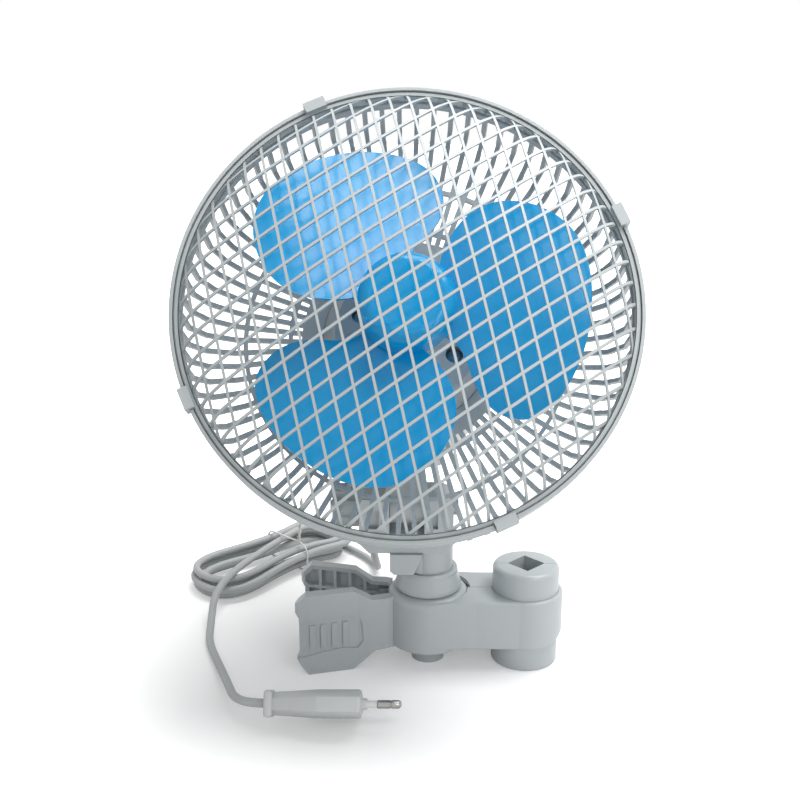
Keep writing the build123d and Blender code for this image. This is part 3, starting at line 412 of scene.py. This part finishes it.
class CLIPFAN_OT_plug(bpy.types.Operator):
    """Shape the flat plug with a ridge along its middle and a flange at the cord"""

    bl_idname = "clipfan.plug"
    bl_label = "Plug"

    def execute(self, context):
        mesh = bmesh.new()
        # six corners: a ridge above and below, and a narrow face at each side
        ring = bmesh.ops.create_circle(mesh, segments=6, radius=1.0, cap_ends=False)["verts"]
        bmesh.ops.rotate(mesh, verts=ring, matrix=Matrix.Rotation(math.radians(90.0), 3, "X"))
        bmesh.ops.rotate(mesh, verts=ring, matrix=Matrix.Rotation(math.radians(90.0), 3, "Z"))
        across = math.cos(math.radians(30.0))
        x, half_width, half_height = PLUG_STATIONS[0]
        bmesh.ops.scale(mesh, verts=ring, vec=(1.0, half_width / across, half_height))
        bmesh.ops.translate(mesh, verts=ring, vec=(x, 0.0, 0.0))
        edges = list(mesh.edges)
        for last, this in zip(PLUG_STATIONS, PLUG_STATIONS[1:]):
            made = bmesh.ops.extrude_edge_only(mesh, edges=edges)["geom"]
            ring = [part for part in made if isinstance(part, bmesh.types.BMVert)]
            edges = [part for part in made if isinstance(part, bmesh.types.BMEdge)]
            bmesh.ops.translate(mesh, verts=ring, vec=(-last[0], 0.0, 0.0))
            bmesh.ops.scale(mesh, verts=ring, vec=(1.0, this[1] / last[1], this[2] / last[2]))
            bmesh.ops.translate(mesh, verts=ring, vec=(this[0], 0.0, 0.0))
        bmesh.ops.holes_fill(mesh, edges=[edge for edge in mesh.edges if edge.is_boundary], sides=0)
        bmesh.ops.recalc_face_normals(mesh, faces=mesh.faces)
        along = [edge for edge in mesh.edges if edge.calc_face_angle() > PLUG_EDGE]
        bmesh.ops.bevel(mesh, geom=along, offset=PLUG_ROUND, affect="EDGES", segments=2, profile=0.5,
                        material=-1, clamp_overlap=True)
        x, length, width, height = FLANGE
        block = bmesh.ops.create_cube(mesh, size=1.0)["verts"]
        bmesh.ops.scale(mesh, verts=block, vec=(length, width, height))
        bmesh.ops.translate(mesh, verts=block, vec=(x, 0.0, 0.0))
        rims = [edge for edge in mesh.edges if edge.verts[0] in block]
        bmesh.ops.bevel(mesh, geom=rims, offset=FLANGE_ROUND, affect="EDGES", segments=4, profile=0.5,
                        material=-1, clamp_overlap=True)
        for side in (-1, 1):
            boss = bmesh.ops.create_cone(mesh, cap_ends=True, segments=32, radius1=BOSS_FOOT_R,
                                         radius2=BOSS_TIP_R, depth=BOSS_DEPTH)["verts"]
            bmesh.ops.rotate(mesh, verts=boss, matrix=Matrix.Rotation(math.radians(90.0), 3, "Y"))
            bmesh.ops.translate(mesh, verts=boss, vec=(BOSS_AT, side * PIN_APART / 2, 0.0))
        made = finish_mesh(mesh, "plug_moulded", PLUG, "plug", "base")
        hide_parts("plug_body")
        return {"FINISHED"}


class CLIPFAN_OT_plug_pins(bpy.types.Operator):
    """Turn the two plug pins, each with its insulating sleeve"""

    bl_idname = "clipfan.plug_pins"
    bl_label = "Plug pins"

    def execute(self, context):
        metal_run = [
            (PIN_ROOT, 0.0), (PIN_ROOT, CORE_R), (SLEEVE_END - 0.3, CORE_R), (SLEEVE_END, PIN_R - 0.15),
            (SLEEVE_END + 0.2, PIN_R),
            (GROOVE[0], PIN_R), (GROOVE[0] + GROOVE_SLOPE, PIN_R - GROOVE_DEPTH),
            (GROOVE[1] - GROOVE_SLOPE, PIN_R - GROOVE_DEPTH), (GROOVE[1], PIN_R),
            (PIN_END - 1.5, PIN_R), (PIN_END - 0.6, PIN_R - 0.35), (PIN_END - 0.15, PIN_R - 0.9),
            (PIN_END, 0.0),
        ]
        sleeve_run = [
            (SLEEVE_ROOT, SLEEVE_R), (SLEEVE_END - 0.5, SLEEVE_R), (SLEEVE_END - 0.25, SLEEVE_R - 0.1),
        ]
        for name, side in (("plug_pin_1", -1), ("plug_pin_2", 1)):
            place = PLUG @ Matrix.Translation((0.0, side * PIN_APART / 2, 0.0))
            pin = finish_mesh(lathe(metal_run), name + "_turned", place, "nickel", "base")
            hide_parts(name)
            finish_mesh(lathe(sleeve_run), name + "_sleeve", place, "sleeve", "base")
        return {"FINISHED"}


# ------------------------------------------------------------------- cord route
# Places in millimetres. The free stretches are listed points, and the
# hank is worked out: three flat spirals on top of each other, pulled in at the
# tie, then one strand across the top.
GLAND_RUN = [
    (-8.4, 11.2, 58.0), (-31.2, 41.6, 58.0), (-33.0, 60.0, 43.0), (-29.0, 82.0, 13.0), (-29.0, 103.0, 2.3),
]
PLUG_RUN = [
    (-119.0, 24.2, 2.3), (-116.5, 6.5, 2.3), (-109.5, -12.0, 2.6), (-103.0, -30.5, 4.6),
    (-97.5, -48.0, 8.0), (-93.0, -63.5, 11.8), (-84.0, -72.2, 13.9), (-70.0, -72.2, 13.9),
]
# The hank has its middle here and its length along its own x.
HANK_PLACE = Matrix.Translation((-92.8, 105.2, 0.0)) @ Matrix.Rotation(math.radians(45.0), 4, "Z")
# Corners in all and in one layer, the rise from layer to layer, the height of
# the lowest strand, and how far a strand lifts where it passes the tie.
HANK_CORNERS = 18
HANK_LAYER = 6
HANK_STEP = 4.8
HANK_FLOOR = 2.3
HANK_LIFT = 1.8
# Corners at the far and the near end: distance along and to the side, and how
# much nearer to the middle each next corner of a layer lies.
HANK_FAR = (50.0, 26.0)
HANK_NEAR = (54.0, 27.0)
HANK_NEST = (1.18, 1.7)
# The tie's place along the hank, the outermost strand's distance to the side
# there, and how much nearer to the middle each next strand lies.
TIE_AT = 10.0
TIE_HALF = 14.5
TIE_NEST = 1.36
# The last strand's two points: along, to the side, and above the top layer.
LAST_STRAND = ((TIE_AT, 6.0, HANK_LIFT + 0.8), (-58.0, -21.0, HANK_STEP + 0.9))


def hank_run():
    """Corner points of the hank, in the fan's frame."""
    points = []
    for n in range(HANK_CORNERS):
        layer, place = divmod(n, HANK_LAYER)
        m = place if layer % 2 == 0 else HANK_LAYER - 1 - place
        z = HANK_FLOOR + HANK_STEP * layer
        end, along = (HANK_FAR, 1) if n % 4 < 2 else (HANK_NEAR, -1)
        side = 1 if n % 4 in (1, 2) else -1
        if n and n % 2 == 0:
            lift = HANK_LIFT if place else 0.0
            points.append((TIE_AT, side * (TIE_HALF - TIE_NEST * m), z + lift))
        points.append((along * (end[0] - HANK_NEST[0] * m), side * (end[1] - HANK_NEST[1] * m), z))
    top = HANK_FLOOR + HANK_STEP * (HANK_CORNERS // HANK_LAYER - 1)
    points += [(x, y, top + rise) for x, y, rise in LAST_STRAND]
    return [tuple(HANK_PLACE @ Vector(point)) for point in points]


# --------------------------------------------------------------------- wire tie
# The tie's loop round the hank, seen along it: its two sides, bottom and top.
TIE_R = 0.55
TIE_LEFT = -TIE_HALF - 5.4
TIE_RIGHT = TIE_HALF + 4.0
TIE_LOW = 1.0
TIE_HIGH = 17.8
# The knot, and the two ends twisted together above it: radius, turn, rise and
# lean of each step, and the number of steps.
KNOT = (TIE_LEFT + 8.0, TIE_HIGH + 1.0)
TWIST_R = 0.62
TWIST_TURN = math.radians(52.0)
TWIST_RISE = 1.15
TWIST_LEAN = 0.14
TWIST_STEPS = 27


class CLIPFAN_OT_wire_tie(bpy.types.Operator):
    """Wind the wire tie round the hank and twist its two ends together"""

    bl_idname = "clipfan.wire_tie"
    bl_label = "Wire tie"

    def execute(self, context):
        curve = bpy.data.curves.new("wire_tie", "CURVE")
        curve.dimensions = "3D"
        curve.bevel_depth = TIE_R * MM
        curve.bevel_resolution = 3
        curve.resolution_u = 8
        curve.use_fill_caps = True
        loop = [
            KNOT, (TIE_LEFT + 4.0, TIE_HIGH), (TIE_LEFT + 0.6, TIE_HIGH - 2.5), (TIE_LEFT, 10.0),
            (TIE_LEFT + 0.6, 3.0), (TIE_LEFT + 4.0, TIE_LOW), (0.0, TIE_LOW), (TIE_RIGHT - 4.0, TIE_LOW),
            (TIE_RIGHT - 0.6, 3.0), (TIE_RIGHT, 9.0), (TIE_RIGHT - 0.8, TIE_HIGH - 2.5),
            (TIE_RIGHT - 4.5, TIE_HIGH), (0.0, TIE_HIGH), KNOT,
        ]
        runs = [[(0.0, y, z) for y, z in loop]]
        for half in (0.0, math.pi):
            end = []
            for k in range(TWIST_STEPS):
                turn = half + TWIST_TURN * k
                end.append((TWIST_R * math.cos(turn), KNOT[0] - TWIST_LEAN * k + TWIST_R * math.sin(turn),
                            TIE_HIGH + 0.2 + TWIST_RISE * k))
            runs.append(end)
        for run in runs:
            line = curve.splines.new("NURBS")
            line.points.add(len(run) - 1)
            for point, at in zip(line.points, run):
                place = WORLD @ HANK_PLACE @ Vector((TIE_AT + at[0], at[1], at[2]))
                point.co = (*place, 1.0)
            line.order_u = 3
            line.use_endpoint_u = True
        made = bpy.data.objects.new("wire_tie", curve)
        context.collection.objects.link(made)
        curve.materials.append(FINISHES["tie"])
        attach(made, "base")
        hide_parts("twist_tie")
        return {"FINISHED"}


class CLIPFAN_OT_cord(bpy.types.Operator):
    """Lay the mains cord from the gland through its hank to the plug"""

    bl_idname = "clipfan.cord"
    bl_label = "Mains cord"

    def execute(self, context):
        sizes = group("clip_fan_cord")
        curve = bpy.data.curves.new("mains_cord", "CURVE")
        curve.dimensions = "3D"
        curve.bevel_depth = sizes.diameter / 2
        curve.bevel_resolution = 4
        curve.resolution_u = 10
        curve.use_fill_caps = True
        line = curve.splines.new("NURBS")
        route = GLAND_RUN + hank_run() + PLUG_RUN
        line.points.add(len(route) - 1)
        for point, at in zip(line.points, route):
            point.co = (at[0] * MM, at[1] * MM, at[2] * MM, 1.0)
        line.order_u = 3
        line.use_endpoint_u = True
        made = bpy.data.objects.new("mains_cord", curve)
        context.collection.objects.link(made)
        curve.materials.append(FINISHES["cord"])
        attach(made, "base")
        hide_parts("cord_gland_run", "cord_hank", "cord_plug_run")
        return {"FINISHED"}


# ------------------------------------------------------------------------ stage
# Half the floor's side, and the distances from the fan between which the floor
# goes over to plain white, all in metres.
FLOOR_HALF = 3.0
SWEEP_NEAR = 0.1
SWEEP_FAR = 0.3
# Lamps are round, with a diameter and a place in metres, and face LAMP_AIM.
KEY_LAMP = (0.9, (0.3, 0.02, 1.08))
FILL_LAMP = (0.6, (0.45, -0.8, 0.5))
LAMP_AIM = (0.0, 0.0, 0.12)
WHITE = (1.0, 1.0, 1.0, 1.0)


class CLIPFAN_OT_stage(bpy.types.Operator):
    """Set the pale floor, the soft lamps and the white surroundings"""

    bl_idname = "clipfan.stage"
    bl_label = "Stage"

    def execute(self, context):
        stage = group("clip_fan_stage")
        scene = context.scene
        scene.view_settings.view_transform = "Standard"
        mesh = bmesh.new()
        bmesh.ops.create_grid(mesh, x_segments=1, y_segments=1, size=FLOOR_HALF)
        data = bpy.data.meshes.new("floor")
        mesh.to_mesh(data)
        mesh.free()
        floor = bpy.data.objects.new("floor", data)
        context.collection.objects.link(floor)
        # matt white sweep: even, shows only the soft shadow
        made, tree, out, place = start("white_sweep")
        ray = node(tree, "ShaderNodeLightPath")
        matt = node(tree, "ShaderNodeBsdfDiffuse", None, {"Color": linear("F0F0F0")})
        lift = node(tree, "ShaderNodeEmission", None, {"Color": WHITE})
        # the sweep whitens with its distance from the fan, so that it has no edge
        away = node(tree, "ShaderNodeVectorMath", {"operation": "LENGTH"}, None, {0: place})
        white = node(tree, "ShaderNodeMapRange", {"interpolation_type": "SMOOTHSTEP"},
                     {"From Min": SWEEP_NEAR, "From Max": SWEEP_FAR, "To Min": stage.lift, "To Max": 1.0},
                     {"Value": away.outputs["Value"]})
        seen = node(tree, "ShaderNodeMath", {"operation": "MULTIPLY"}, None,
                    {0: ray.outputs["Is Camera Ray"], 1: white.outputs["Result"]})
        tree.links.new(seen.outputs[0], lift.inputs["Strength"])
        both = node(tree, "ShaderNodeAddShader", None, None, {0: matt.outputs[0], 1: lift.outputs[0]})
        tree.links.new(both.outputs[0], out.inputs["Surface"])
        data.materials.append(made)

        # white for the camera, in metal and through glass; an even light for the rest
        world = bpy.data.worlds.new("studio")
        scene.world = world
        world.use_nodes = True
        tree = world.node_tree
        tree.nodes.clear()
        out = node(tree, "ShaderNodeOutputWorld")
        ray = node(tree, "ShaderNodeLightPath")
        clear = node(tree, "ShaderNodeMath", {"operation": "MAXIMUM"}, None,
                     {0: ray.outputs["Is Camera Ray"], 1: ray.outputs["Is Transmission Ray"]})
        clear = node(tree, "ShaderNodeMath", {"operation": "MAXIMUM"}, None,
                     {0: clear.outputs[0], 1: ray.outputs["Is Glossy Ray"]})
        white = node(tree, "ShaderNodeBackground", None, {"Color": WHITE, "Strength": 1.0})
        even = node(tree, "ShaderNodeBackground", None, {"Color": WHITE, "Strength": stage.sky})
        both = node(tree, "ShaderNodeMixShader", None, None,
                    {0: clear.outputs[0], 1: even.outputs[0], 2: white.outputs[0]})
        tree.links.new(both.outputs[0], out.inputs["Surface"])

        for name, power, (size, at) in (("key", stage.key, KEY_LAMP), ("fill", stage.fill, FILL_LAMP)):
            data = bpy.data.lights.new(name, "AREA")
            data.shape = "DISK"
            data.size = size
            data.energy = power
            lamp = bpy.data.objects.new(name, data)
            lamp.location = at
            lamp.rotation_euler = (Vector(LAMP_AIM) - Vector(at)).to_track_quat("-Z", "Y").to_euler()
            context.collection.objects.link(lamp)
        return {"FINISHED"}


# ------------------------------------------------------------------------ panel
class CLIPFAN_PT_panel(bpy.types.Panel):
    """Steps that build the fan, in order"""

    bl_idname = "CLIPFAN_PT_panel"
    bl_label = "Clip Fan"
    bl_space_type = "VIEW_3D"
    bl_region_type = "UI"
    bl_category = "Clip Fan"

    def draw(self, context):
        for step in STEPS:
            self.layout.operator("clipfan." + step)


STEPS = ("camera", "finishes", "spring", "plug", "plug_pins", "wire_tie", "cord", "stage")
GROUPS = {
    "clip_fan_colours": ClipFanColours,
    "clip_fan_cord": ClipFanCord,
    "clip_fan_stage": ClipFanStage,
}
CLASSES = (
    ClipFanColours, ClipFanCord, ClipFanStage,
    CLIPFAN_OT_camera, CLIPFAN_OT_finishes, CLIPFAN_OT_spring, CLIPFAN_OT_plug, CLIPFAN_OT_plug_pins,
    CLIPFAN_OT_wire_tie, CLIPFAN_OT_cord, CLIPFAN_OT_stage,
    CLIPFAN_PT_panel,
)


def register():
    """Register the classes and put their settings on the scene."""
    for kind in CLASSES:
        bpy.utils.register_class(kind)
    for name, kind in GROUPS.items():
        setattr(bpy.types.Scene, name, bpy.props.PointerProperty(type=kind))


def unregister():
    """Take the settings and the classes away again."""
    for name in GROUPS:
        delattr(bpy.types.Scene, name)
    for kind in reversed(CLASSES):
        bpy.utils.unregister_class(kind)


def main():
    """Build the fan step by step."""
    register()
    for step in STEPS:
        getattr(bpy.ops.clipfan, step)()


if __name__ == "__main__":
    main()
